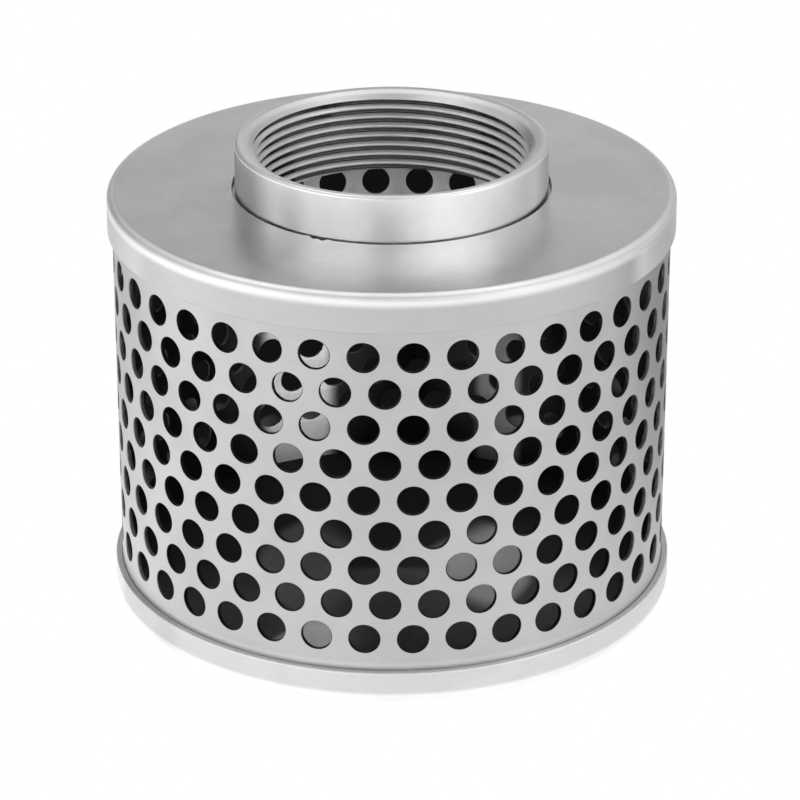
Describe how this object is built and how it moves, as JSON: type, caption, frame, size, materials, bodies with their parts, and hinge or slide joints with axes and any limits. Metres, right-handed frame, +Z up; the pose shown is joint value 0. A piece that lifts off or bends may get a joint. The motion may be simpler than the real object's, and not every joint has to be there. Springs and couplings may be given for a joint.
{
  "type": "hydraulic suction strainer",
  "caption": "Short round suction strainer: a rolled screen punched with round holes, closed by pressed end caps, under a threaded coupling.",
  "frame": {"origin": "centre of the underside of the bottom cap", "axes": "+Z up along the strainer's axis, out of the coupling's mouth; -Y faces the camera"},
  "size_m": [0.1798, 0.1798, 0.1515],
  "materials": {
    "turned_coupling": "satin zinc plate over a turned face",
    "plated_caps": "satin zinc plate over pressed sheet",
    "plated_screen": "satin zinc plate over punched sheet"
  },
  "bodies": {
    "root": {"coupling": "turned_coupling", "top_cap": "plated_caps", "screen": "plated_screen", "bottom_cap": "plated_caps"}
  },
  "joints": []
}
